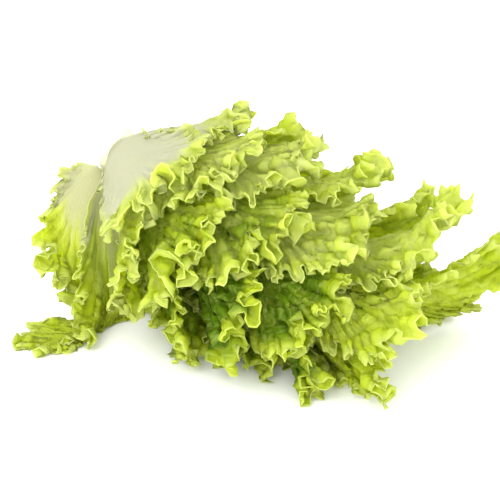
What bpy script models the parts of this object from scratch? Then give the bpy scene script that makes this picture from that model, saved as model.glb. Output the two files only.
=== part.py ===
"""A head of lollo bionda lettuce, cut from its root and laid on its side.

A short stem carries leaves in a spiral. Each leaf is one thin sheet: a pale thick rib at its foot,
a fan of smooth blade, and a margin that is longer than the blade can hold flat, so it ruffles.
Every leaf follows a bowl of its own round the heart, and the bowls lie one inside the other.
Lengths are in metres and angles in degrees. X runs to the right, Y away from the viewer, Z up.
"""

import math

import bmesh
import bpy
import numpy as np
from mathutils import Vector

# The head as it lies: where the cut stem is, and which way the heart points
CUT_STEM = np.array((-0.0765, 0.035, 0.0958))
HEART_POINTS = np.array((0.80, -0.526, -0.428))
SURFACE_REACH = 0.020  # leaves lower than this bend to lie along the surface
MOVED = np.array((-0.0122, 0.0166, -0.0068))  # sets the lowest leaves on z = 0, middle on the origin

# The stem
STEM_RADIUS = 0.014
STEM_TOP_RADIUS = 0.004
STEM_LENGTH = 0.048
STEM_SIDES = 20
GAP = 0.0004  # between pieces that meet

# The spiral of leaves. A pair is the outermost leaf's value and the innermost one's
SPIRAL_COUNT = 30
GOLDEN_ANGLE = 137.508
FIRST_ANGLE = 55.0
LENGTH = (0.0796, 0.1662)
HALF_WIDTH = (0.0570, 0.0508)
FOOT_HALF_WIDTH = (0.018, 0.003)
RIB_DEPTH = (0.0026, 0.0014)
RUFFLE = (0.0066, 0.0070)
LEAN_AT_FOOT = (61.5, 16.0)
LEAN_HALF_WAY = (49.2, 4.0)
LEAN_AT_TIP = (89.5, 48.0)
HEIGHT_ON_STEM = (0.0058, 0.043)
LONGER_BEHIND, SHORTER_ON_TOP = 0.37, 0.30
BEHIND, ON_TOP = 306.5, 325.0  # azimuths round the stem, from its upper side

# How the head opens with the azimuth
OPENS_MOST_AT = math.radians(314.5)
OPENS_BY, CLOSES_BELOW, CLOSES_ABOVE = 0.338, 0.366, 0.494
TIPS_LIFT_AT = math.radians(321.5)
TIPS_LIFT_BY = math.radians(46.2)
TIPS_LIFT_FROM, TIPS_LIFT_OVER = 0.085, 0.080

# A leaf
BLADE = 0.00082
WAVES = 14
WIDEST_WRAP = math.radians(59.0)
UNCOVERED = math.radians(16.0)  # to each side of its middle a leaf is clear of its neighbours
CONFINED_RUFFLE = 0.12  # what is left of the ruffle where neighbours press on it
RUFFLE_DEPTH = 0.20  # how far in from the margin it reaches, as a share of the leaf's length
RUFFLE_LEANS_OUT = 0.7
MARGIN_ANGLE = math.radians(152.0)
COLUMNS, ROWS = 7, 6
FINER_ROWS = (3, 4)  # from each of these rows out to the margin there are twice as many columns
ROW_SPREAD = 1.5  # brings the rows closer together towards the margin
BOWL_LEVELS, BOWL_AZIMUTHS = 27, 61


def unit(vector):
    return vector / np.linalg.norm(vector, axis=-1, keepdims=True)


AXIS = unit(HEART_POINTS)
UP = unit(np.array((0.0, 0.0, 1.0)) - AXIS[2] * AXIS)
SIDE = np.cross(AXIS, UP)


def ease(x):
    x = np.clip(x, 0.0, 1.0)
    return x * x * (3.0 - 2.0 * x)


def mix(a, b, x):
    return a + (b - a) * x


def through(values, x):
    """A parabola through three values, at 0, a half and 1."""
    low, middle, high = values
    bend = 2.0 * (low + high - 2.0 * middle)
    return low + (high - low - bend) * x + bend * x * x


def facing(azimuth, towards):
    """1 where the two azimuths agree, down to 0 where they are opposite."""
    return 0.5 + 0.5 * np.cos(azimuth - towards)


def openness(azimuth):
    """How far the head opens on each side: most at the back right, least where it lies."""
    free, under, above = (facing(azimuth, a) ** 3 for a in (OPENS_MOST_AT, math.pi, 0.0))
    return 1.0 + OPENS_BY * free - CLOSES_BELOW * under - CLOSES_ABOVE * above


class Leaf:
    """A leaf's sheet. t runs from -1 to 1 along the margin, s from 0 at the foot to 1 at the margin."""

    def __init__(self, name, length, width, foot, rib, ruffle, seed, angle, lean, height):
        self.name = name
        self.length, self.width, self.foot, self.rib_depth = length, width, foot, rib
        self.ruffle = ruffle
        self.phases = np.random.default_rng(seed).uniform(0.0, 2.0 * math.pi, 6)
        self.turn = np.linspace(-MARGIN_ANGLE, MARGIN_ANGLE, 241)
        across, along = self.margin_of(self.turn)
        steps = np.hypot(np.diff(across), np.diff(along))
        arc = np.concatenate(((0.0,), np.cumsum(steps)))
        self.margin_length = arc[-1]
        self.arc = 2.0 * arc / arc[-1] - 1.0
        self.angle = math.radians(angle)
        self.make_bowl(lean, height)

    def make_bowl(self, lean, height):
        """The bowl round the heart that the leaf follows, as tables over the way out and the azimuth."""
        self.levels = np.linspace(0.0, 1.3 * self.length, BOWL_LEVELS)
        self.azimuths = np.radians(np.linspace(-150.0, 150.0, BOWL_AZIMUTHS))
        around = self.angle + self.azimuths
        tilt = np.radians(through(lean, self.levels / self.length))[:, None] * openness(around)
        lift = ease((self.levels - TIPS_LIFT_FROM) / TIPS_LIFT_OVER)
        tilt += TIPS_LIFT_BY * facing(around, TIPS_LIFT_AT) ** 2 * lift[:, None]
        step = self.levels[1]
        start = mix(STEM_RADIUS, STEM_TOP_RADIUS, height / STEM_LENGTH)
        start += GAP + 0.5 * self.rib_depth * np.abs(np.cos(tilt[0]))
        foot_row = np.zeros((1, BOWL_AZIMUTHS))
        self.radius = start + step * np.concatenate((foot_row, np.cumsum(np.sin(tilt[:-1]), axis=0)))
        self.height = height + step * np.concatenate((foot_row, np.cumsum(np.cos(tilt[:-1]), axis=0)))
        turn = self.azimuths[1] - self.azimuths[0]
        middle = 0.5 * (self.radius[:, 1:] + self.radius[:, :-1])
        steps = np.sqrt(np.diff(self.radius) ** 2 + np.diff(self.height) ** 2 + (middle * turn) ** 2)
        round_way = np.concatenate((np.zeros((BOWL_LEVELS, 1)), np.cumsum(steps, axis=1)), axis=1)
        self.round_way = round_way - round_way[:, BOWL_AZIMUTHS // 2][:, None]
        self.wrap = self.room_for()

    def room_for(self):
        """How much narrower than flat the leaf grows at each level, so that it wraps no further than it may."""
        across, along = self.margin_of(self.turn)
        order = np.argsort(along)
        half_width = np.interp(self.levels, along[order], np.abs(across)[order]) + GAP
        edge = np.array([np.interp(half, way, self.azimuths) for half, way in zip(half_width, self.round_way)])
        return WIDEST_WRAP * np.tanh(edge / WIDEST_WRAP) / edge

    def margin_of(self, turn):
        """The egg-shaped outline, as (across, along), with a few broad lobes."""
        centre, top = 0.60 * self.length, 0.40 * self.length
        low = 0.93 * centre
        lobes = 1.0 + 0.05 * np.sin(5.0 * turn + self.phases[0]) + 0.03 * np.sin(9.0 * turn + self.phases[1])
        wide = self.width * lobes
        upper = np.abs(turn) <= 0.5 * math.pi
        across = np.where(
            upper,
            wide * np.sin(turn),
            np.sign(turn) * (self.foot + (wide - self.foot) * np.abs(np.sin(turn))),
        )
        along = centre + np.where(upper, top, low) * np.cos(turn) * lobes
        return across, along

    def in_plane(self, t, s):
        """The point on the flat leaf, how far inside the margin it is, and how long its ray is."""
        uneven = 0.025 * np.sin(3.0 * math.pi * t + self.phases[2])
        uneven += 0.012 * np.sin(7.0 * math.pi * t + self.phases[3])
        turn = np.interp(t + uneven * (1.0 - t * t), self.arc, self.turn)
        across, along = self.margin_of(turn)
        foot_across = self.foot * t
        bend_across, bend_along = 1.3 * foot_across, 0.62 * along
        a, b, c = (1.0 - s) ** 2, 2.0 * s * (1.0 - s), s * s
        reach = np.hypot(across - foot_across, along)
        return (
            a * foot_across + b * bend_across + c * across,
            b * bend_along + c * along,
            (1.0 - s) * reach,
            reach,
        )

    def on_bowl(self, across, along):
        """The level and the azimuth, from the leaf's middle, of a point on the flat leaf."""
        level = np.clip(along / self.levels[1], 0.0, BOWL_LEVELS - 1.001)
        azimuth = np.zeros_like(across)
        for index, way in enumerate(self.round_way):
            share = np.clip(1.0 - np.abs(level - index), 0.0, 1.0)
            azimuth += share * self.wrap[index] * np.interp(across, way, self.azimuths)
        return level, azimuth

    def smooth(self, t, s):
        """The sheet before it ruffles: the flat leaf laid on its bowl."""
        across, along, _, _ = self.in_plane(t, s)
        level, azimuth = self.on_bowl(across, along)
        column = (azimuth - self.azimuths[0]) / (self.azimuths[1] - self.azimuths[0])
        row, col = level.astype(int), column.astype(int)
        u, v = level - row, column - col

        def read(table):
            low = mix(table[row, col], table[row, col + 1], v)
            high = mix(table[row + 1, col], table[row + 1, col + 1], v)
            return mix(low, high, u)

        radius, height = read(self.radius), read(self.height)
        angle = self.angle + azimuth
        up, side = radius * np.cos(angle), radius * np.sin(angle)
        return CUT_STEM + height[..., None] * AXIS + up[..., None] * UP + side[..., None] * SIDE

    def ruffled(self, t, s):
        """The sheet with its margin thrown into folds across its own surface."""
        step = 2e-3
        along_margin = self.smooth(t + step, s) - self.smooth(t - step, s)
        outwards = self.smooth(t, s + step) - self.smooth(t, s - step)
        inwards = unit(np.cross(along_margin, outwards))
        along_margin = unit(along_margin)
        _, _, inside, reach = self.in_plane(t, s)
        _, azimuth = self.on_bowl(*self.in_plane(t, np.ones_like(t))[:2])
        fullness = np.exp(-inside / (RUFFLE_DEPTH * self.length)) * ease(reach / (0.7 * self.length))
        fullness *= mix(1.0, CONFINED_RUFFLE, ease((np.abs(azimuth) - UNCOVERED) / UNCOVERED))
        fullness *= (0.8 + 0.2 * np.sin(5.0 * math.pi * t + self.phases[4])) * ease(8.0 * (1.0 - np.abs(t)))
        height = self.ruffle * fullness
        wave = math.pi * WAVES * (t + 1.0)
        overhang = 0.6 * height**2 * WAVES / self.margin_length * np.sin(2.0 * wave)
        height = height * (RUFFLE_LEANS_OUT + np.cos(wave))
        return self.smooth(t, s) - inwards * height[..., None] + along_margin * overhang[..., None]

    def surface(self, t, s):
        """The ruffled sheet, with what would pass through the surface below laid along it."""
        place = self.ruffled(t, s)
        z = place[..., 2]
        low = SURFACE_REACH**2 / (2.0 * SURFACE_REACH - np.minimum(z, SURFACE_REACH))
        place[..., 2] = np.where(z < SURFACE_REACH, low, z)
        place += MOVED
        half_thickness = 0.5 * mix(BLADE, self.rib_depth, self.rib(t, s))
        place[..., 2] = np.maximum(place[..., 2], half_thickness)
        return place

    def rib(self, t, s):
        """How much of the rib's thickness there is, from 0 in the thin blade to 1 at the foot."""
        across, along, _, _ = self.in_plane(t, s)
        half = mix(self.foot, 0.003, ease(along / (0.75 * self.length)))
        return ease(1.0 - np.abs(across) / (1.25 * half)) * (1.0 - ease(along / (0.8 * self.length)))


def loose_leaves():
    """The two outermost leaves, which have come away from the head on its left."""
    hanging = Leaf("leaf_01", 0.080, 0.039, 0.018, 0.003, 0.007, 71, 155.0, (152.0, 84.0, 97.0), 0.0006)
    trailing = Leaf("leaf_02", 0.1836, 0.0356, 0.010, 0.003, 0.006, 72, 155.4, (87.0, 88.6, 230.0), 0.0040)
    return [hanging, trailing]


def spiral_leaves():
    leaves = []
    for index in range(SPIRAL_COUNT):
        x = index / (SPIRAL_COUNT - 1)
        angle = FIRST_ANGLE + GOLDEN_ANGLE * index
        behind, top = (facing(math.radians(angle), math.radians(a)) ** 2 for a in (BEHIND, ON_TOP))
        longer = x * LONGER_BEHIND * behind - (1.0 - x) * SHORTER_ON_TOP * top
        leaves.append(
            Leaf(
                name=f"leaf_{index + 3:02d}",
                length=mix(*LENGTH, x) * (1.0 + longer),
                width=mix(*HALF_WIDTH, x),
                foot=mix(*FOOT_HALF_WIDTH, x),
                rib=mix(*RIB_DEPTH, x),
                ruffle=mix(*RUFFLE, x),
                seed=300 + index,
                angle=angle,
                lean=(mix(*LEAN_AT_FOOT, x), mix(*LEAN_HALF_WAY, x), mix(*LEAN_AT_TIP, x)),
                height=mix(*HEIGHT_ON_STEM, x),
            )
        )
    return leaves


def sheet_template():
    """A flat sheet over (t, s), with more columns towards the margin, in triangles."""
    bm = bmesh.new()
    bmesh.ops.create_grid(bm, x_segments=COLUMNS, y_segments=ROWS, size=1.0)
    for row in FINER_ROWS:
        level = -1.0 + 2.0 * row / ROWS - 1e-4
        edges = []
        for edge in bm.edges:
            first, last = (vert.co.y for vert in edge.verts)
            if abs(first - last) < 1e-5 and first > level:
                edges.append(edge)
        bmesh.ops.subdivide_edges(bm, edges=edges, cuts=1, use_grid_fill=True)
    bmesh.ops.triangulate(bm, faces=bm.faces[:])
    mesh = bpy.data.meshes.new("leaf_sheet")
    bm.to_mesh(mesh)
    bm.free()
    return mesh


def material(name, colour, roughness):
    made = bpy.data.materials.new(name)
    made.use_nodes = True
    shader = made.node_tree.nodes["Principled BSDF"]
    shader.inputs["Base Color"].default_value = (*colour, 1.0)
    shader.inputs["Roughness"].default_value = roughness
    return made


def add_object(name, mesh, finish, collection):
    mesh.name = name
    mesh.materials.append(finish)
    made = bpy.data.objects.new(name, mesh)
    collection.objects.link(made)
    return made


def add_leaf(leaf, template, finish, collection):
    """The sheet placed by the leaf's formula and given its thickness, which is greatest along the rib."""
    mesh = template.copy()
    flat = np.empty(len(mesh.vertices) * 3, np.float32)
    mesh.vertices.foreach_get("co", flat)
    flat = flat.reshape(-1, 3).astype(float)
    t, s = flat[:, 0], 0.5 * (flat[:, 1] + 1.0)
    s = 1.0 - (1.0 - s) ** ROW_SPREAD
    mesh.vertices.foreach_set("co", leaf.surface(t, s).astype(np.float32).ravel())
    mesh.shade_smooth()
    made = add_object(leaf.name, mesh, finish, collection)
    ribs = made.vertex_groups.new(name="rib")
    for index, share in enumerate(leaf.rib(t, s)):
        ribs.add([index], float(share), "REPLACE")
    thick = made.modifiers.new("thickness", "SOLIDIFY")
    thick.thickness = leaf.rib_depth
    thick.offset = 0.0
    thick.vertex_group = "rib"
    thick.thickness_vertex_group = BLADE / leaf.rib_depth
    thick.use_rim = True


def add_stem(finish, collection):
    """The cut stem: a cone whose cut face is turned away from the heart."""
    bm = bmesh.new()
    bmesh.ops.create_cone(
        bm, cap_ends=True, segments=STEM_SIDES, radius1=STEM_RADIUS, radius2=STEM_TOP_RADIUS, depth=STEM_LENGTH
    )
    bmesh.ops.translate(bm, verts=bm.verts[:], vec=(0.0, 0.0, 0.5 * STEM_LENGTH))
    mesh = bpy.data.meshes.new("stem")
    bm.to_mesh(mesh)
    bm.free()
    mesh.shade_smooth()
    mesh.set_sharp_from_angle(angle=math.radians(40.0))
    made = add_object("stem", mesh, finish, collection)
    made.rotation_euler = Vector(AXIS).to_track_quat("Z", "X").to_euler()
    made.location = CUT_STEM + MOVED


def main():
    for old in list(bpy.data.objects):
        bpy.data.objects.remove(old)
    collection = bpy.data.collections.new("lollo_bionda")
    bpy.context.scene.collection.children.link(collection)
    leaf_green = material("leaf_green", (0.45, 0.62, 0.08), 0.5)
    stem_pale = material("stem_pale", (0.80, 0.80, 0.62), 0.6)
    add_stem(stem_pale, collection)
    template = sheet_template()
    for leaf in loose_leaves() + spiral_leaves():
        add_leaf(leaf, template, leaf_green, collection)
    bpy.data.meshes.remove(template)


main()
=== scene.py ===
import math

import bpy
import numpy as np
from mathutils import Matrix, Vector


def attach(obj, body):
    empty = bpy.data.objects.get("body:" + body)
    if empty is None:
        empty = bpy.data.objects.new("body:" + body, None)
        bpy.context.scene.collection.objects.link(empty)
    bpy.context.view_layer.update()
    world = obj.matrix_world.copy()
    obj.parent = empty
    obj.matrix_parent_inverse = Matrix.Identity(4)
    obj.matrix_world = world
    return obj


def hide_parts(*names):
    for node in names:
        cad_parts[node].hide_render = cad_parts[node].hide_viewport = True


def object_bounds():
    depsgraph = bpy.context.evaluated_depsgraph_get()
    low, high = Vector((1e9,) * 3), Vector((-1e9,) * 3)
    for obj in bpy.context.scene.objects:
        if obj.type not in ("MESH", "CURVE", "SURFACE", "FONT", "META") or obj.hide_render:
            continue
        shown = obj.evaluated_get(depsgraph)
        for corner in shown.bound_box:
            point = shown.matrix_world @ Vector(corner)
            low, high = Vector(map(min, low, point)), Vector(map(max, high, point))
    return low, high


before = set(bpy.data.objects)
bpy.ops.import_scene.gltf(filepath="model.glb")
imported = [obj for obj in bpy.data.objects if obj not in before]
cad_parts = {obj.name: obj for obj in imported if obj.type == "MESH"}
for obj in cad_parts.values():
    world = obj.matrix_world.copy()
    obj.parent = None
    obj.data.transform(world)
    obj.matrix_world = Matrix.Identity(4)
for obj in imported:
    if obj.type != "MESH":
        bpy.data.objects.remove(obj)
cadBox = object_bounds()
print("frame loaded:", len(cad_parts), "nodes")

head = {
    "cutStem": (-0.0765, 0.035, 0.0958),
    "heartPoints": (0.80, -0.526, -0.428),
    "moved": (-0.0122, 0.0166, -0.0068),
    "surfaceReach": 0.020,  # leaves lower than this bend to lie along the surface
    "frillReach": 0.002,  # and frills lower than this
    "clearance": 0.0003,
    "opensMostAt": math.radians(314.5),
    "opensBy": 0.338,
    "closesBelow": 0.366,
    "closesAbove": 0.494,
    "tipsLiftAt": math.radians(321.5),
    "tipsLiftBy": math.radians(46.2),
    "tipsLiftFrom": 0.085,
    "tipsLiftOver": 0.080,
}


def unit(vector):
    return vector / np.maximum(np.linalg.norm(vector, axis=-1, keepdims=True), 1e-12)


def ease(x):
    x = np.clip(x, 0.0, 1.0)
    return x * x * (3.0 - 2.0 * x)


def mix(a, b, x):
    return a + (b - a) * x


def through(values, x):  # a parabola through its values at 0, a half and 1
    low, middle, high = values
    bend = 2.0 * (low + high - 2.0 * middle)
    return low + (high - low - bend) * x + bend * x * x


def facing(azimuth, towards):
    return 0.5 + 0.5 * np.cos(azimuth - towards)


cutStem, moved = np.array(head["cutStem"]), np.array(head["moved"])
axis = unit(np.array(head["heartPoints"]))
upper = unit(np.array((0.0, 0.0, 1.0)) - axis[2] * axis)
side = np.cross(axis, upper)


def openness(azimuth):
    free, under, above = (facing(azimuth, a) ** 3 for a in (head["opensMostAt"], math.pi, 0.0))
    return 1.0 + head["opensBy"] * free - head["closesBelow"] * under - head["closesAbove"] * above


# The stem's measures, which the leaves' feet follow too
stemShape = {
    "radius": 0.014,
    "topRadius": 0.004,
    "length": 0.048,
    "gap": 0.0004,
    "around": 72,
    "up": 40,
    "scars": 11,  # ridges left by leaves that were pulled off
    "scarDepth": 0.0007,
    "cutBulge": 0.0006,
    "edgeRound": 0.0012,
}

leafShape = {
    "levels": 27,
    "azimuths": 61,
    "bowlReach": 1.3,  # how far a leaf's bowl goes on, in leaf lengths
    "bowlHalfTurn": 150.0,
    "marginSteps": 241,
    "widestAt": 0.60,  # shares of the length
    "pastWidest": 0.40,
    "footReach": 0.93,
    "footWidens": 1.3,
    "footNears": 0.62,
    "lobes": ((0.05, 5.0), (0.03, 9.0)),  # how deep, and how many round the outline
    "uneven": ((0.025, 3.0), (0.012, 7.0)),
    "waves": 14,
    "widestWrap": math.radians(59.0),
    "uncovered": math.radians(16.0),
    "confined": 0.12,
    "ruffleDepth": 0.20,
    "leansOut": 0.7,
    "marginAngle": math.radians(152.0),
    "blade": 0.0008,
    "thinEdge": 0.00045,
    # how much painted shade, as deeper green, the valleys of folds get
    "foldShade": 0.22,
    "fadeAtCorners": 8.0,
    "room": (0.25, 0.5),  # folds start where they have this share of the margin's room, over this share
    "ribEnd": 0.003,
    "ribNarrowsTo": 0.75,
    "ribSlope": 1.25,
    "ribFadesTo": 0.8,
    "columnWidth": 0.00078,
    # how wide the rows are, from the margin in, as (rows, share of the way in, columns joined)
    "rows": ((8, 0.0090, 1), (13, 0.016, 2), (6, 0.035, 4), (5, None, 8)),
}

# Each level of frill rides on the one before, shorter and shallower. Lengths and depths are in metres.
frillLevels = (
    {"every": 0.0098, "height": 0.0046, "depth": 0.042, "sway": 0.8, "confined": 0.50, "overhang": 0.13},
    {"every": 0.0046, "height": 0.0027, "depth": 0.024, "sway": 1.3, "confined": 0.80, "overhang": 0.10},
)
frillPlay = {  # how unevenly the folds run; a pair is the size of a swing and its slowest waves along the margin
    "swayWaves": 9.0,
    "turn": 0.9,
    "turnsInDepth": 3.2,
    "turnWaves": 6.0,
    "height": 0.80,
    "heightSwing": (0.50, 13.0),
    "heightLimits": (0.20, 1.5),
    "depthIfPale": 0.45,
}
edgeShape = {
    "lobeEvery": 0.013,
    "lobe": 0.0040,
    "lobeDepth": 0.009,
    "toothEvery": 0.0042,
    "tooth": 0.0034,
    "toothDepth": 0.0030,
    "toothMiddle": 0.4,
    "lobeSwing": (0.8, 7.0),
    "toothSwing": (0.5, 15.0),
    "sharp": 0.7,
    "sharpSwing": (0.4, 21.0),
    "sharpLimits": (0.2, 1.3),
    "blisters": ((0.0019, 0.017), (0.0009, 0.0085)),  # height and size
    "blisterBend": 0.4,
    "blistersFrom": 0.2,  # shares of the length
    "blistersOver": 0.6,
    "blistersIfCovered": 0.5,
    "thinBand": 0.03,
}
leafPattern = {  # where each colour lies; lengths in metres, the rest are shares
    "patches": (0.12, 5.0),  # size of the swing, slowest waves along the margin
    "spots": (0.10, 120.0, 100.0),  # size, and how tight across and along the leaf
    "greenFrom": 0.06,
    "greenFromIfPale": 0.60,
    "greenOver": 0.46,
    "edgeReach": 0.022,
    "blade": 0.75,
    "margin": 0.25,
    "patchy": 0.3,
    # how much greener the valleys of folds are, as painted shade
    "sunk": 0.08,
    "paleRib": 0.75,
    # where the painted shade starts and grows in from the margin, and how much of it the fold valleys get
    "shadeFrom": 0.003,
    "shadeOver": 0.018,
    "shadeInFolds": 0.15,
    "edgeBand": 0.03,
    "frill": 0.75,
    # the pale frill is weaker on leaves that get more painted shade
    "frillIfShaded": 0.6,
    "frillBand": 0.009,
}


class Leaf:
    # t runs from -1 to 1 along the margin, s from 0 at the foot to 1 at the margin
    def __init__(self, name, length, width, foot, rib, ruffle, seed, angle, lean, height, green, pale, deep):
        self.name, self.length, self.width, self.foot = name, length, width, foot
        self.ribDepth, self.ruffle = rib, ruffle
        # deep is how much painted shade, as darker green, the leaf gets
        self.green, self.pale, self.deep = green, pale, deep
        self.phases = np.random.default_rng(seed).uniform(0.0, 2.0 * math.pi, 6)
        self.draws = np.random.default_rng(seed + 1000)
        self.turn = np.linspace(-leafShape["marginAngle"], leafShape["marginAngle"], leafShape["marginSteps"])
        across, along = self.marginOf(self.turn)
        arc = np.concatenate(((0.0,), np.cumsum(np.hypot(np.diff(across), np.diff(along)))))
        self.marginLength = arc[-1]
        self.arc = 2.0 * arc / arc[-1] - 1.0
        self.angle = math.radians(angle)
        self.makeBowl(lean, height)

    def makeBowl(self, lean, height):  # the surface round the stem that the leaf lies on
        levelCount, azimuthCount, halfTurn = leafShape["levels"], leafShape["azimuths"], leafShape["bowlHalfTurn"]
        self.levels = np.linspace(0.0, leafShape["bowlReach"] * self.length, levelCount)
        self.azimuths = np.radians(np.linspace(-halfTurn, halfTurn, azimuthCount))
        around = self.angle + self.azimuths
        tilt = np.radians(through(lean, self.levels / self.length))[:, None] * openness(around)
        lift = ease((self.levels - head["tipsLiftFrom"]) / head["tipsLiftOver"])
        tilt += head["tipsLiftBy"] * facing(around, head["tipsLiftAt"]) ** 2 * lift[:, None]
        step = self.levels[1]
        start = mix(stemShape["radius"], stemShape["topRadius"], height / stemShape["length"])
        start += stemShape["gap"] + 0.5 * self.ribDepth * np.abs(np.cos(tilt[0]))
        footRow = np.zeros((1, azimuthCount))
        self.radius = start + step * np.concatenate((footRow, np.cumsum(np.sin(tilt[:-1]), axis=0)))
        self.height = height + step * np.concatenate((footRow, np.cumsum(np.cos(tilt[:-1]), axis=0)))
        middle = 0.5 * (self.radius[:, 1:] + self.radius[:, :-1]) * (self.azimuths[1] - self.azimuths[0])
        steps = np.sqrt(np.diff(self.radius) ** 2 + np.diff(self.height) ** 2 + middle**2)
        roundWay = np.concatenate((np.zeros((levelCount, 1)), np.cumsum(steps, axis=1)), axis=1)
        self.roundWay = roundWay - roundWay[:, azimuthCount // 2][:, None]
        across, along = self.marginOf(self.turn)
        order = np.argsort(along)
        halfWidth = np.interp(self.levels, along[order], np.abs(across)[order]) + stemShape["gap"]
        edge = np.array([np.interp(half, way, self.azimuths) for half, way in zip(halfWidth, self.roundWay)])
        self.wrap = leafShape["widestWrap"] * np.tanh(edge / leafShape["widestWrap"]) / edge

    def marginOf(self, turn):  # the leaf's outline laid flat, across and along it
        centre, top = leafShape["widestAt"] * self.length, leafShape["pastWidest"] * self.length
        (deep, few), (shallow, many) = leafShape["lobes"]
        lobes = 1.0 + deep * np.sin(few * turn + self.phases[0]) + shallow * np.sin(many * turn + self.phases[1])
        wide, sine = self.width * lobes, np.sin(turn)
        lower = np.sign(turn) * (self.foot + (wide - self.foot) * np.abs(sine))
        isUpper = np.abs(turn) <= 0.5 * math.pi
        along = centre + np.where(isUpper, top, leafShape["footReach"] * centre) * np.cos(turn) * lobes
        return np.where(isUpper, wide * sine, lower), along

    def inPlane(self, t, s):  # a place laid flat, with its way to the margin and the margin's way from the foot
        (deep, few), (shallow, many) = leafShape["uneven"]
        uneven = deep * np.sin(few * math.pi * t + self.phases[2])
        uneven = uneven + shallow * np.sin(many * math.pi * t + self.phases[3])
        turn = np.interp(t + uneven * (1.0 - t * t), self.arc, self.turn)
        across, along = self.marginOf(turn)
        footAcross = self.foot * t
        a, b, c = (1.0 - s) ** 2, 2.0 * s * (1.0 - s), s * s
        reach = np.hypot(across - footAcross, along)
        return (
            a * footAcross + leafShape["footWidens"] * b * footAcross + c * across,
            leafShape["footNears"] * b * along + c * along,
            (1.0 - s) * reach,
            reach,
        )

    def onBowl(self, across, along):
        level = np.clip(along / self.levels[1], 0.0, leafShape["levels"] - 1.001)
        azimuth = np.zeros_like(across)
        for index, way in enumerate(self.roundWay):
            share = np.clip(1.0 - np.abs(level - index), 0.0, 1.0)
            azimuth += share * self.wrap[index] * np.interp(across, way, self.azimuths)
        return level, azimuth

    def smooth(self, t, s):
        across, along, _, _ = self.inPlane(t, s)
        level, azimuth = self.onBowl(across, along)
        column = (azimuth - self.azimuths[0]) / (self.azimuths[1] - self.azimuths[0])
        row, col = level.astype(int), column.astype(int)
        u, v = level - row, column - col

        def read(table):
            low = mix(table[row, col], table[row, col + 1], v)
            return mix(low, mix(table[row + 1, col], table[row + 1, col + 1], v), u)

        radius, height, angle = read(self.radius), read(self.height), self.angle + azimuth
        up, out = radius * np.cos(angle), radius * np.sin(angle)
        return cutStem + height[..., None] * axis + up[..., None] * upper + out[..., None] * side

    def coveredShare(self, t):  # how far a place on the margin is under its neighbours
        _, azimuth = self.onBowl(*self.inPlane(t, np.ones_like(t))[:2])
        return ease((np.abs(azimuth) - leafShape["uncovered"]) / leafShape["uncovered"])

    def spread(self, t, s):  # how far apart the folds have room to be, 1 at the margin
        across, along, _, _ = self.inPlane(t, s)
        room = np.hypot(np.gradient(across, axis=1), np.gradient(along, axis=1))
        room /= 0.5 * self.marginLength * np.abs(np.gradient(t, axis=1))
        least, over = leafShape["room"]
        return ease((room - least) / over)

    def ruffled(self, t, s):  # the solid's own waves, which the finer frills ride on
        step = 0.002
        alongMargin = self.smooth(t + step, s) - self.smooth(t - step, s)
        outwards = self.smooth(t, s + step) - self.smooth(t, s - step)
        inwards = unit(np.cross(alongMargin, outwards))
        _, _, inside, reach = self.inPlane(t, s)
        fullness = np.exp(-inside / (leafShape["ruffleDepth"] * self.length)) * ease(reach / (0.7 * self.length))
        fullness *= mix(1.0, leafShape["confined"], self.coveredShare(t)) * self.spread(t, s)
        uneven = 0.8 + 0.2 * np.sin(5.0 * math.pi * t + self.phases[4])
        fullness *= uneven * ease(leafShape["fadeAtCorners"] * (1.0 - np.abs(t)))
        height = self.ruffle * fullness
        wave = math.pi * leafShape["waves"] * (t + 1.0)
        overhang = 0.6 * height**2 * leafShape["waves"] / self.marginLength * np.sin(2.0 * wave)
        height = height * (leafShape["leansOut"] + np.cos(wave))
        return self.smooth(t, s) - inwards * height[..., None] + unit(alongMargin) * overhang[..., None]

    def rib(self, across, along):  # 1 on the middle of the rib, 0 off it
        half = mix(self.foot, leafShape["ribEnd"], ease(along / (leafShape["ribNarrowsTo"] * self.length)))
        fade = 1.0 - ease(along / (leafShape["ribFadesTo"] * self.length))
        return ease(1.0 - np.abs(across) / (leafShape["ribSlope"] * half)) * fade

    def wander(self, t, slowest):  # an uneven but smooth swing of about 1, along the margin
        swing = np.zeros_like(t)
        for times in (1.0, 1.7, 2.6, 4.1):
            swing += np.sin(slowest * times * math.pi * t + self.draws.uniform(0.0, 2.0 * math.pi)) / math.sqrt(times)
        return 0.6 * swing


def bentAlongSurface(place, reach, floor):  # what is lower than the reach eases down on to the floor
    z = place[..., 2] - floor
    place[..., 2] = floor + np.where(z < reach, reach**2 / (2.0 * reach - np.minimum(z, reach)), z)
    return place


def heldBelow(value, limit, reach=0.006, over=0.002):  # eases what would pass the limit to just over it
    past = np.maximum(value - (limit - reach), 0.0)
    return np.minimum(value, limit - reach) + (reach + over) * (1.0 - np.exp(-past / (reach + over)))


def directions(place):
    alongMargin, outwards = np.gradient(place, axis=1), np.gradient(place, axis=0)
    return unit(alongMargin), unit(outwards), unit(np.cross(alongMargin, outwards))


def gridOf(leaf):
    # rows from the foot to the margin; every row has all columns here, and inner ones are thinned out later
    gaps, strides = [], []
    named = sum(count * gap for count, gap, _ in leafShape["rows"] if gap)
    for count, gap, stride in leafShape["rows"]:
        gaps += [gap or (1.0 - named) / count] * count
        strides += [stride] * count
    rows = 1.0 - np.concatenate(((0.0,), np.cumsum(gaps)))[::-1]
    rows[0], rows[-1] = 0.0, 1.0
    strides = strides[::-1] + [strides[0]]
    widest = max(strides)
    columns = widest * round(leaf.marginLength / leafShape["columnWidth"] / widest)
    t, s = np.meshgrid(np.linspace(-1.0, 1.0, columns + 1), rows)
    return t, s, strides


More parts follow.
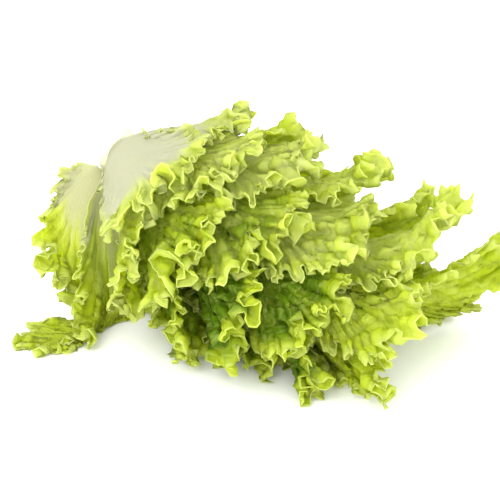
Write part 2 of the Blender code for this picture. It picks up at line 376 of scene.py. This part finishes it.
def frilled(leaf, place, t, inside, corners, covered):
    sunk = np.zeros_like(t)  # how deep in a fold each place is, which the colours also use for painted shade in the folds
    for level in frillLevels:
        waves = round(leaf.marginLength / level["every"])
        phase = math.pi * waves * t + level["sway"] * leaf.wander(t, frillPlay["swayWaves"])
        depth = level["depth"] * mix(1.0, frillPlay["depthIfPale"], leaf.pale)
        turned = leaf.wander(t, frillPlay["turnWaves"])
        phase += frillPlay["turn"] * np.sin(inside / depth * frillPlay["turnsInDepth"] + leaf.phases[5] + turned)
        swing, swingWaves = frillPlay["heightSwing"]
        uneven = np.clip(frillPlay["height"] + swing * leaf.wander(t, swingWaves), *frillPlay["heightLimits"])
        height = level["height"] * np.exp(-((inside / depth) ** 1.5)) * corners * uneven
        height *= mix(1.0, level["confined"], covered)
        sunk += height / level["height"] * np.cos(phase)
        alongMargin, _, inwards = directions(place)
        slide = level["overhang"] * height**2 * 2.0 * math.pi * waves / leaf.marginLength * np.sin(2.0 * phase)
        place = place + inwards * (height * np.cos(phase))[..., None] + alongMargin * slide[..., None]
    return place, sunk


def lobesAndTeeth(leaf, t, inside):  # how far each place reaches outwards
    swing, swingWaves = edgeShape["lobeSwing"]
    lobe = np.sin(math.pi * leaf.marginLength / edgeShape["lobeEvery"] * t + swing * leaf.wander(t, swingWaves))
    swing, swingWaves = edgeShape["toothSwing"]
    turned = swing * leaf.wander(t, swingWaves)
    saw = np.abs(np.sin(0.5 * math.pi * leaf.marginLength / edgeShape["toothEvery"] * t + turned))
    swing, swingWaves = edgeShape["sharpSwing"]
    sharp = np.clip(edgeShape["sharp"] + swing * leaf.wander(t, swingWaves), *edgeShape["sharpLimits"])
    out = edgeShape["lobe"] * lobe * np.exp(-inside / edgeShape["lobeDepth"])
    tooth = edgeShape["tooth"] * sharp * (edgeShape["toothMiddle"] - saw)
    return out + tooth * np.exp(-inside / edgeShape["toothDepth"])


def blistersOn(leaf, across, along, rib, covered):  # how far the blade is lifted
    lifted, bend = np.zeros_like(across), edgeShape["blisterBend"]
    for height, size in edgeShape["blisters"]:
        a, b = across / size, along / size
        lump = np.sin(2.0 * math.pi * (a + bend * np.sin(b * 2.1)) + leaf.phases[1])
        lifted += height * lump * np.sin(2.0 * math.pi * (b + bend * np.sin(a * 1.7)) + leaf.phases[2])
    share = ease(along / (edgeShape["blistersOver"] * leaf.length) - edgeShape["blistersFrom"] - leaf.pale)
    return lifted * (share * (1.0 - rib) * mix(1.0, edgeShape["blistersIfCovered"], covered))


def bothFaces(place, thick):  # the blade's faces, kept above the surface and in the solids' box
    place = bentAlongSurface(place, head["frillReach"], head["clearance"])
    _, _, inwards = directions(place)
    fair = place[..., 2] - 0.5 * thick
    place[..., 2] += np.maximum(0.0, -fair)  # a thick rib stays above the surface too
    faces = (place + inwards * (0.5 * thick)[..., None], place - inwards * (0.5 * thick)[..., None])
    for face in faces:
        face[..., 2] = np.maximum(face[..., 2], 0.0)
        for way in range(3):
            low, high = cadBox[0][way], cadBox[1][way]
            face[..., way] = heldBelow(face[..., way], high)
            if way < 2:
                face[..., way] = -heldBelow(-face[..., way], -low)
    return faces


def trianglesOver(shape, strides):  # thins out the columns of inner rows, joins all rows and closes the rim
    keep = np.zeros(shape, bool)
    for row, stride in enumerate(strides):
        keep[row, ::stride] = True
    number = np.full(shape, -1)
    number[keep] = np.arange(keep.sum())
    count = int(keep.sum())
    triangles = []
    for row in range(len(strides) - 1):
        low, high = number[row, :: strides[row]], number[row + 1, :: strides[row + 1]]
        if len(low) == len(high):
            pairs = ((low[:-1], high[1:], high[:-1]), (low[:-1], low[1:], high[1:]))
        else:
            middle = high[1::2]
            pairs = (
                (low[:-1], middle, high[:-1:2]),
                (low[:-1], low[1:], middle),
                (low[1:], high[2::2], middle),
            )
        triangles += [np.stack(three, axis=1) for three in pairs]
    triangles = np.concatenate(triangles)
    right, left = number[:, -1], number[:, 0]
    loop = np.concatenate((number[0, :: strides[0]], right[1:], number[-1, ::-1][1:], left[::-1][1:]))
    rim = np.concatenate(
        (
            np.stack((loop[:-1], loop[:-1] + count, loop[1:]), axis=1),
            np.stack((loop[1:], loop[:-1] + count, loop[1:] + count), axis=1),
        )
    )
    return keep, np.concatenate((triangles, triangles[:, ::-1] + count, rim))


def colourShares(leaf, t, across, along, inside, rib, sunk):
    look = leafPattern
    swing, swingWaves = look["patches"]
    spot, tightAcross, tightAlong = look["spots"]
    patchy = swing * leaf.wander(t, swingWaves)
    patchy = patchy + spot * np.sin(across * tightAcross + leaf.phases[0]) * np.sin(along * tightAlong)
    start = mix(look["greenFrom"], look["greenFromIfPale"], leaf.pale)
    grown = ease((along / leaf.length - start) / look["greenOver"] + patchy)
    towardsEdge = np.exp(-inside / look["edgeReach"])
    greenness = look["blade"] * grown + look["margin"] * mix(grown, 1.0, 0.5) * towardsEdge + look["patchy"] * patchy
    # the valleys of folds are made a little greener, as painted shade
    greenness = np.clip(leaf.green * greenness + look["sunk"] * sunk, 0.0, 1.0) * (1.0 - look["paleRib"] * rib)
    # painted shade: darker green further in from the margin, in the valleys of folds and on the shaded side of the
    # head
    paintedShade = leaf.deep * ease((inside - look["shadeFrom"]) / look["shadeOver"]) * grown
    paintedShade = paintedShade + leafShape["foldShade"] * sunk * (look["shadeInFolds"] + leaf.deep)
    frillShare = look["frill"] - look["frillIfShaded"] * min(1.0, leaf.deep)
    return {
        "greenness": greenness,
        "paintedShade": np.clip(paintedShade, 0.0, 1.0) * (1.0 - rib),
        "fromEdge": np.clip(inside / look["edgeBand"], 0.0, 1.0),
        "frillShare": frillShare * (1.0 - ease(inside / look["frillBand"])),
        "ribShare": rib,
        "grown": grown,
    }


def fineLeaf(leaf):
    t, s, strides = gridOf(leaf)
    across, along, inside, reach = leaf.inPlane(t, s)
    rib, covered = leaf.rib(across, along), leaf.coveredShare(t)
    corners = ease(leafShape["fadeAtCorners"] * (1.0 - np.abs(t))) * ease(reach / (0.5 * leaf.length))
    corners = corners * leaf.spread(t, s)
    place = bentAlongSurface(leaf.ruffled(t, s), head["surfaceReach"], 0.0) + moved
    place, sunk = frilled(leaf, place, t, inside, corners, covered)
    _, outwards, inwards = directions(place)
    out = lobesAndTeeth(leaf, t, inside) * corners
    lifted = blistersOn(leaf, across, along, rib, covered)
    # blisters pressed inwards count as fold valleys for the painted shade
    sunk += lifted / edgeShape["blisters"][0][0]
    place = place + outwards * out[..., None] + inwards * lifted[..., None]
    blade = mix(leafShape["thinEdge"], leafShape["blade"], ease(inside / edgeShape["thinBand"]))
    faces = bothFaces(place, mix(blade, leaf.ribDepth, rib))
    keep, triangles = trianglesOver(t.shape, strides)
    points = np.concatenate([face[keep] for face in faces])

    mesh = bpy.data.meshes.new(leaf.name)
    mesh.vertices.add(len(points))
    mesh.vertices.foreach_set("co", points.astype(np.float32).ravel())
    mesh.loops.add(3 * len(triangles))
    mesh.loops.foreach_set("vertex_index", triangles.astype(np.int32).ravel())
    mesh.polygons.add(len(triangles))
    mesh.polygons.foreach_set("loop_start", np.arange(0, 3 * len(triangles), 3, dtype=np.int32))
    mesh.polygons.foreach_set("use_smooth", np.ones(len(triangles), bool))
    mesh.update(calc_edges=True)
    mesh.validate()

    # the leaf laid flat, its two faces beside each other, and once more at ten times its size for the veins
    plane = np.stack((across[keep], along[keep]), axis=1)
    shrink = 0.46 / max(np.abs(plane[:, 0]).max() * 2.0, plane[:, 1].max())
    sheet = plane * shrink + (0.25, 0.02)
    for name, front, back in (("OFBake", sheet, sheet + (0.5, 0.0)), ("leafPlane", plane * 10.0, plane * 10.0)):
        layer = mesh.uv_layers.new(name=name)
        both = np.concatenate((front, back))
        layer.data.foreach_set("uv", both[triangles.ravel()].astype(np.float32).ravel())
    for name, value in colourShares(leaf, t, across, along, inside, rib, sunk).items():
        layer = mesh.attributes.new(name, "FLOAT", "POINT")
        layer.data.foreach_set("value", np.tile(value[keep], 2).astype(np.float32))
    return mesh


# Node groups and the small helpers that build them
def newGroup(name, sockets):
    group = bpy.data.node_groups.new(name, "ShaderNodeTree")
    for label, kind, inOut, value in sockets:
        socket = group.interface.new_socket(name=label, in_out=inOut, socket_type=kind)
        if value is not None:
            socket.default_value = value
    return group, group.nodes.new("NodeGroupInput"), group.nodes.new("NodeGroupOutput")


def node(tree, kind, inputs=None, **settings):
    made = tree.nodes.new(kind)
    for name, value in settings.items():
        setattr(made, name, value)
    for socket, value in (inputs or {}).items():
        if isinstance(value, bpy.types.NodeSocket):
            tree.links.new(value, made.inputs[socket])
        else:
            made.inputs[socket].default_value = value
    return made


def calculate(tree, operation, first, second=0.0):
    return node(tree, "ShaderNodeMath", {0: first, 1: second}, operation=operation).outputs[0]


def fade(tree, value, start, end, low=0.0, high=1.0):
    inputs = {"Value": value, "From Min": start, "From Max": end, "To Min": low, "To Max": high}
    return node(tree, "ShaderNodeMapRange", inputs, interpolation_type="SMOOTHSTEP").outputs["Result"]


def blendColours(tree, share, first, second):
    made = node(tree, "ShaderNodeMix", data_type="RGBA")
    for socket, value in ((0, share), (6, first), (7, second)):
        if isinstance(value, bpy.types.NodeSocket):
            tree.links.new(value, made.inputs[socket])
        else:
            made.inputs[socket].default_value = value if socket == 0 else (*value, 1.0)
    return made.outputs[2]


def makeMottle():
    sockets = (
        ("Vector", "NodeSocketVector", "INPUT", None),
        ("Scale", "NodeSocketFloat", "INPUT", 40.0),
        ("Patches", "NodeSocketFloat", "OUTPUT", None),
        ("Specks", "NodeSocketFloat", "OUTPUT", None),
    )
    group, start, end = newGroup("softMottle", sockets)
    broad = node(group, "ShaderNodeTexNoise", {"Vector": start.outputs[0], "Scale": start.outputs[1], "Detail": 3.0})
    finer = calculate(group, "MULTIPLY", start.outputs[1], 9.0)
    specks = node(group, "ShaderNodeTexNoise", {"Vector": start.outputs[0], "Scale": finer, "Detail": 2.0})
    group.links.new(fade(group, broad.outputs[0], 0.3, 0.7), end.inputs[0])
    group.links.new(fade(group, specks.outputs[0], 0.35, 0.65), end.inputs[1])
    return group


def makeVeins():
    sockets = (
        ("Plane", "NodeSocketVector", "INPUT", None),
        ("Spacing", "NodeSocketFloat", "INPUT", 0.15),
        ("Width", "NodeSocketFloat", "INPUT", 0.07),
        ("Net Size", "NodeSocketFloat", "INPUT", 20.0),
        ("Side Veins", "NodeSocketFloat", "OUTPUT", None),
        ("Net", "NodeSocketFloat", "OUTPUT", None),
    )
    group, start, end = newGroup("leafVeins", sockets)
    wobble = node(group, "ShaderNodeTexNoise", {"Vector": start.outputs[0], "Scale": 6.0, "Detail": 2.0})
    middle = (0.5, 0.5, 0.5)
    shifted = node(group, "ShaderNodeVectorMath", {0: wobble.outputs["Color"], 1: middle}, operation="SUBTRACT")
    small = node(group, "ShaderNodeVectorMath", {0: shifted.outputs[0], "Scale": 0.12}, operation="SCALE")
    bent = node(group, "ShaderNodeVectorMath", {0: start.outputs[0], 1: small.outputs[0]}, operation="ADD")
    parts = node(group, "ShaderNodeSeparateXYZ", {0: bent.outputs[0]})
    away = calculate(group, "ABSOLUTE", parts.outputs[0])
    rise = calculate(group, "MULTIPLY", away, 1.15)
    course = calculate(group, "SUBTRACT", parts.outputs[1], rise)
    repeat = calculate(group, "FRACT", calculate(group, "DIVIDE", course, start.outputs[1]))
    off = calculate(group, "ABSOLUTE", calculate(group, "SUBTRACT", repeat, 0.5))
    thinner = calculate(group, "SUBTRACT", 0.5, start.outputs[2])
    line = fade(group, off, thinner, 0.5)
    net = node(
        group,
        "ShaderNodeTexVoronoi",
        {"Vector": bent.outputs[0], "Scale": start.outputs[3], "Randomness": 1.0},
        feature="DISTANCE_TO_EDGE",
    )
    group.links.new(line, end.inputs[0])
    group.links.new(fade(group, net.outputs[0], 0.0, 0.09, 1.0, 0.0), end.inputs[1])
    return group


def placeGroup(tree, group, inputs):
    return node(tree, "ShaderNodeGroup", inputs, node_tree=group)


def readShare(tree, name):
    return node(tree, "ShaderNodeAttribute", attribute_name=name).outputs["Fac"]


def newMaterial(name):
    made = bpy.data.materials.new(name)
    made.use_nodes = True
    tree = made.node_tree
    return made, tree, tree.nodes["Principled BSDF"], tree.nodes["Material Output"]


leafColours = {
    "cream": (0.68, 0.68, 0.53),
    "paleLime": (0.74, 0.79, 0.30),
    "yellowGreen": (0.58, 0.67, 0.03),
    # painted shade: the deep green of shaded blade
    "shadeGreen": (0.13, 0.26, 0.004),
    "frill": (0.72, 0.77, 0.28),
    # a thin paler rim along the margin, partly the leaf's own margin and partly a painted highlight
    "edge": (0.78, 0.82, 0.42),
    "vein": (0.72, 0.79, 0.20),
    "glow": (0.84, 0.90, 0.12),
    "through": 0.66,  # share of the light that passes through the blade
    "roughness": 0.48,
    "spotScale": 7.0,  # scales count in a tenth of a metre of the flat leaf
    "veins": {"Spacing": 0.15, "Width": 0.08, "Net Size": 16.0},
    "veinBump": 0.0006,
    "crinkleScale": 24.0,
    "crinkleBump": 0.0022,
}


def makeLeafMaterial(mottle, veins):
    made, tree, shader, output = newMaterial("lettuceLeaf")
    names = ("greenness", "paintedShade", "fromEdge", "frillShare", "ribShare", "grown")
    green, deep, fromEdge, frill, rib, grown = (readShare(tree, name) for name in names)
    plane = node(tree, "ShaderNodeUVMap", uv_map="leafPlane").outputs[0]
    spots = placeGroup(tree, mottle, {"Vector": plane, "Scale": leafColours["spotScale"]})
    lines = placeGroup(tree, veins, {"Plane": plane, **leafColours["veins"]})
    shade = calculate(tree, "ADD", green, calculate(tree, "MULTIPLY", spots.outputs["Patches"], 0.18))
    colour = blendColours(tree, fade(tree, green, 0.0, 0.30), leafColours["cream"], leafColours["paleLime"])
    colour = blendColours(tree, fade(tree, shade, 0.25, 0.75), colour, leafColours["yellowGreen"])
    # painted shade: deep green where the blade lies in shade, further in from the margin, in folds and on the shaded
    # side of the head
    shade = calculate(tree, "ADD", deep, fade(tree, spots.outputs["Patches"], 0.0, 1.0, -0.15, 0.15))
    colour = blendColours(tree, fade(tree, shade, 0.05, 0.95), colour, leafColours["shadeGreen"])
    inBlade = calculate(tree, "MULTIPLY", grown, calculate(tree, "SUBTRACT", 1.0, rib))
    sideVeins = calculate(tree, "MULTIPLY", lines.outputs["Side Veins"], fade(tree, fromEdge, 0.1, 0.9))
    veinShare = calculate(tree, "MAXIMUM", sideVeins, calculate(tree, "MULTIPLY", lines.outputs["Net"], 0.55))
    veinShare = calculate(tree, "MULTIPLY", veinShare, inBlade)
    colour = blendColours(tree, calculate(tree, "MULTIPLY", veinShare, 0.55), colour, leafColours["vein"])
    colour = blendColours(tree, frill, colour, leafColours["frill"])
    # the thin paler rim: partly the leaf's own margin, partly a painted highlight
    colour = blendColours(tree, fade(tree, fromEdge, 0.0, 0.05, 0.35, 0.0), colour, leafColours["edge"])
    glow = blendColours(tree, fade(tree, green, 0.0, 0.5, 0.12, 0.42), colour, leafColours["glow"])
    tree.links.new(colour, shader.inputs["Base Color"])
    usual = leafColours["roughness"]
    rough = fade(tree, spots.outputs["Specks"], 0.0, 1.0, usual - 0.06, usual + 0.10)
    tree.links.new(rough, shader.inputs["Roughness"])
    height = calculate(tree, "SUBTRACT", calculate(tree, "MULTIPLY", spots.outputs["Specks"], 0.25), veinShare)
    fine = node(tree, "ShaderNodeBump", {"Strength": 0.45, "Distance": leafColours["veinBump"], "Height": height})
    scale = leafColours["crinkleScale"]
    crinkles = node(tree, "ShaderNodeTexNoise", {"Vector": plane, "Scale": scale, "Detail": 2.0})
    lumps = calculate(tree, "MULTIPLY", crinkles.outputs[0], calculate(tree, "MAXIMUM", green, 0.15))
    depth = leafColours["crinkleBump"]
    inputs = {"Strength": 1.0, "Distance": depth, "Height": lumps, "Normal": fine.outputs[0]}
    bump = node(tree, "ShaderNodeBump", inputs)
    tree.links.new(bump.outputs[0], shader.inputs["Normal"])
    shader.inputs["Specular IOR Level"].default_value = 0.30
    sheer = node(tree, "ShaderNodeBsdfTranslucent", {"Color": glow, "Normal": bump.outputs[0]})
    both = node(tree, "ShaderNodeMixShader", {0: leafColours["through"], 1: shader.outputs[0], 2: sheer.outputs[0]})
    tree.links.new(both.outputs[0], output.inputs[0])
    return made


stemColours = {
    "flesh": (0.62, 0.61, 0.44),
    "skin": (0.56, 0.62, 0.30),
    "cut": (0.56, 0.44, 0.26),
    "roughness": 0.42,
    "spotScale": 90.0,
    "bump": 0.0005,
}


def makeStemMaterial(mottle):
    made, tree, shader, _ = newMaterial("lettuceStem")
    cut, upWay = readShare(tree, "cutFace"), readShare(tree, "upWay")
    place = node(tree, "ShaderNodeTexCoord").outputs["Object"]
    spots = placeGroup(tree, mottle, {"Vector": place, "Scale": stemColours["spotScale"]})
    colour = blendColours(tree, fade(tree, upWay, 0.0, 0.5), stemColours["flesh"], stemColours["skin"])
    browned = calculate(tree, "MULTIPLY", cut, fade(tree, spots.outputs["Patches"], 0.0, 1.0, 0.25, 0.75))
    colour = blendColours(tree, browned, colour, stemColours["cut"])
    specks = calculate(tree, "MULTIPLY", spots.outputs["Specks"], 0.12)
    colour = blendColours(tree, specks, colour, stemColours["cut"])
    tree.links.new(colour, shader.inputs["Base Color"])
    rough = fade(tree, spots.outputs["Specks"], 0.0, 1.0, stemColours["roughness"], stemColours["roughness"] + 0.15)
    tree.links.new(rough, shader.inputs["Roughness"])
    inputs = {"Strength": 0.4, "Distance": stemColours["bump"], "Height": spots.outputs["Specks"]}
    bump = node(tree, "ShaderNodeBump", inputs)
    tree.links.new(bump.outputs[0], shader.inputs["Normal"])
    return made


def makeStem():
    # rings from the middle of the cut face, over its rounded edge and up to the top
    length, low, high = stemShape["length"], stemShape["radius"], stemShape["topRadius"]
    edge = stemShape["edgeRound"]
    profile = [(0.0, low * share, 1.0) for share in (0.25, 0.5, 0.7, 0.85)]
    for turn in np.linspace(0.0, 0.5 * math.pi, 6):
        profile.append((edge * (1.0 - math.cos(turn)), low - edge * (1.0 - math.sin(turn)), 1.0 - turn / 1.6))
    for share in np.linspace(0.06, 0.985, stemShape["up"]):
        profile.append((length * share, mix(low, high, share), 0.0))
    ways, radii, cuts = (np.array(column) for column in zip(*profile))
    angles = np.linspace(0.0, 2.0 * math.pi, stemShape["around"], endpoint=False)
    way, angle = np.meshgrid(ways, angles, indexing="ij")
    turns = angle / (2.0 * math.pi) + stemShape["scars"] * way / length
    scar = np.abs(np.sin(math.pi * (turns + 0.12 * np.sin(3.0 * angle)))) ** 6 * ease(way / 0.006)
    radius = radii[:, None] - stemShape["scarDepth"] * (0.4 + scar) * np.minimum(1.0, way / 0.004)
    radius = np.maximum(radius, 0.2 * radii[:, None])
    dent = stemShape["cutBulge"] * (1.0 + 0.5 * np.sin(2.0 * angle + 0.7))
    dent = dent * np.clip(1.0 - radii / low, 0.0, 1.0)[:, None]
    way = way + dent * (cuts[:, None] > 0.5)
    out = upper * np.cos(angle)[..., None] + side * np.sin(angle)[..., None]
    points = (cutStem + moved + way[..., None] * axis + radius[..., None] * out).reshape(-1, 3)
    around = stemShape["around"]
    middle = cutStem + moved + axis * stemShape["cutBulge"] * 1.2
    top = cutStem + moved + axis * length
    points = np.vstack((points, middle, top))
    faces = []
    for ring in range(len(profile) - 1):
        for column in range(around):
            beside = (column + 1) % around
            a, b = ring * around + column, ring * around + beside
            faces.append((a, b, b + around, a + around))
    last = (len(profile) - 1) * around
    for column in range(around):
        beside = (column + 1) % around
        faces.append((beside, column, len(points) - 2))
        faces.append((last + column, last + beside, len(points) - 1))
    mesh = bpy.data.meshes.new("cutStem")
    mesh.from_pydata([tuple(point) for point in points], [], faces)
    mesh.shade_smooth()
    for name, value, ends in (("cutFace", cuts, (1.0, 0.0)), ("upWay", ways / length, (0.0, 1.0))):
        layer = mesh.attributes.new(name, "FLOAT", "POINT")
        layer.data.foreach_set("value", np.concatenate((np.repeat(value, around), ends)).astype(np.float32))
    return mesh


spiral = {  # a pair is the outermost leaf's value and the innermost one's
    "count": 30,
    "goldenAngle": 137.508,
    "firstAngle": 55.0,
    "length": (0.0796, 0.1662),
    "halfWidth": (0.0570, 0.0508),
    "foot": (0.018, 0.003),
    "rib": (0.0026, 0.0014),
    "ruffle": (0.0066, 0.0070),
    "leanAtFoot": (61.5, 16.0),
    "leanHalfWay": (49.2, 4.0),
    "leanAtTip": (89.5, 48.0),
    "heightOnStem": (0.0058, 0.043),
    "behind": (306.5, 0.37),  # azimuth, and how much longer or shorter the leaves there are
    "onTop": (325.0, -0.30),
    "green": (0.74, 1.0),
    "paleUntil": 0.24,
    "shadedSide": (100.0, 0.62, 1.2),  # azimuth, share of the way in, and how much darker green the leaves there are: painted shade for the shaded leaves on that side of the head
    "shadedSideOver": 0.42,
    # painted shade that every leaf gets further in from its margin
    "shadedEverywhere": 0.06,
    "paler": (352.0, 0.48),  # azimuth, and how much less green the leaves there are
    "palerTo": 0.8,
}
looseLeaves = {
    "leaf_01": {
        "length": 0.080,
        "width": 0.039,
        "foot": 0.018,
        "rib": 0.003,
        "ruffle": 0.007,
        "seed": 71,
        "angle": 155.0,
        "lean": (152.0, 84.0, 97.0),
        "height": 0.0006,
        "green": 0.62,
        "pale": 0.4,
        "deep": 0.0,
    },
    "leaf_02": {
        "length": 0.1836,
        "width": 0.0356,
        "foot": 0.010,
        "rib": 0.003,
        "ruffle": 0.006,
        "seed": 72,
        "angle": 155.4,
        "lean": (87.0, 88.6, 230.0),
        "height": 0.0040,
        "green": 0.92,
        "pale": 0.0,
        "deep": 0.05,
    },
}


def allLeaves():
    for name, values in looseLeaves.items():
        yield Leaf(name, **values)
    for index in range(spiral["count"]):
        x = index / (spiral["count"] - 1)
        angle = spiral["firstAngle"] + spiral["goldenAngle"] * index
        turn = math.radians(angle)
        (backWay, behind), (topWay, top) = spiral["behind"], spiral["onTop"]
        behind = facing(turn, math.radians(backWay)) ** 2 * behind
        top = facing(turn, math.radians(topWay)) ** 2 * top
        longer = x * behind + (1.0 - x) * top
        # painted shade: leaves on the shaded side, part of the way in, are painted darker green
        azimuth, way, deep = spiral["shadedSide"]
        near = max(0.0, 1.0 - ((x - way) / spiral["shadedSideOver"]) ** 2)
        deep *= facing(turn, math.radians(azimuth)) ** 4 * near
        azimuth, paler = spiral["paler"]
        paler *= facing(turn, math.radians(azimuth)) ** 3
        yield Leaf(
            name=f"leaf_{index + 3:02d}",
            length=mix(*spiral["length"], x) * (1.0 + longer),
            width=mix(*spiral["halfWidth"], x),
            foot=mix(*spiral["foot"], x),
            rib=mix(*spiral["rib"], x),
            ruffle=mix(*spiral["ruffle"], x),
            seed=300 + index,
            angle=angle,
            lean=tuple(mix(*spiral[key], x) for key in ("leanAtFoot", "leanHalfWay", "leanAtTip")),
            height=mix(*spiral["heightOnStem"], x),
            green=mix(*spiral["green"], x) - paler,
            pale=max(1.0 - x / spiral["paleUntil"], paler * spiral["palerTo"]),
            deep=spiral["shadedEverywhere"] + deep,
        )


def addPiece(name, mesh, material, node):
    mesh.materials.append(material)
    piece = bpy.data.objects.new(name, mesh)
    bpy.context.scene.collection.objects.link(piece)
    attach(piece, "root")
    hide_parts(node)
    return piece


mottle, veins = makeMottle(), makeVeins()
leafMaterial = makeLeafMaterial(mottle, veins)
addPiece("cutStem", makeStem(), makeStemMaterial(mottle), "stem")
print("stem made")
triangleCount = 0
for leaf in allLeaves():
    leafMesh = fineLeaf(leaf)
    triangleCount += len(leafMesh.polygons)
    addPiece("frilled_" + leaf.name, leafMesh, leafMaterial, leaf.name)
print("leaves made:", triangleCount, "triangles")

# Studio: a pale floor under a bright sky, a soft light from the upper left and a wide low one from the front
studio = {
    "floorColour": (0.90, 0.90, 0.89),
    "floorRoughness": 0.6,
    "floorSize": 4.0,
    "sky": (1.0, 1.0, 1.0),
    "skyStrength": 2.1,
    "key": {"place": (-0.45, -0.55, 0.85), "size": 0.6, "power": 3.0},
    "fill": {"place": (-0.25, -1.0, 0.30), "size": 0.9, "power": 7.0},
}
camera = {
    "lens": 80.0,
    "away": 0.62,
    "elevation": math.radians(25.0),
    "target": (-0.0122, 0.0166, 0.0412),
}


def makeFloor():
    made, _, shader, _ = newMaterial("paleFloor")
    shader.inputs["Base Color"].default_value = (*studio["floorColour"], 1.0)
    shader.inputs["Roughness"].default_value = studio["floorRoughness"]
    half = 0.5 * studio["floorSize"]
    mesh = bpy.data.meshes.new("floor")
    corners = [(-half, -half, 0.0), (half, -half, 0.0), (half, half, 0.0), (-half, half, 0.0)]
    mesh.from_pydata(corners, [], [(0, 1, 2, 3)])
    mesh.materials.append(made)
    floor = bpy.data.objects.new("floor", mesh)
    bpy.context.scene.collection.objects.link(floor)


def addLight(name, place, size, power):
    data = bpy.data.lights.new(name, "AREA")
    data.energy, data.size = power, size
    light = bpy.data.objects.new(name, data)
    light.location = place
    light.rotation_euler = (Vector(camera["target"]) - Vector(place)).to_track_quat("-Z", "Y").to_euler()
    bpy.context.scene.collection.objects.link(light)


def addCamera():
    data = bpy.data.cameras.new("camera")
    data.lens = camera["lens"]
    made = bpy.data.objects.new("camera", data)
    back = Vector((0.0, -math.cos(camera["elevation"]), math.sin(camera["elevation"])))
    made.location = Vector(camera["target"]) + back * camera["away"]
    made.rotation_euler = (-back).to_track_quat("-Z", "Y").to_euler()
    bpy.context.scene.collection.objects.link(made)
    bpy.context.scene.camera = made


makeFloor()
addLight("keyLight", **studio["key"])
addLight("fillLight", **studio["fill"])
addCamera()
world = bpy.data.worlds.new("studio")
world.use_nodes = True
background = world.node_tree.nodes["Background"]
background.inputs["Color"].default_value = (*studio["sky"], 1.0)
background.inputs["Strength"].default_value = studio["skyStrength"]
bpy.context.scene.world = world
bpy.context.scene.view_settings.view_transform = "Standard"
print("studio and camera set")
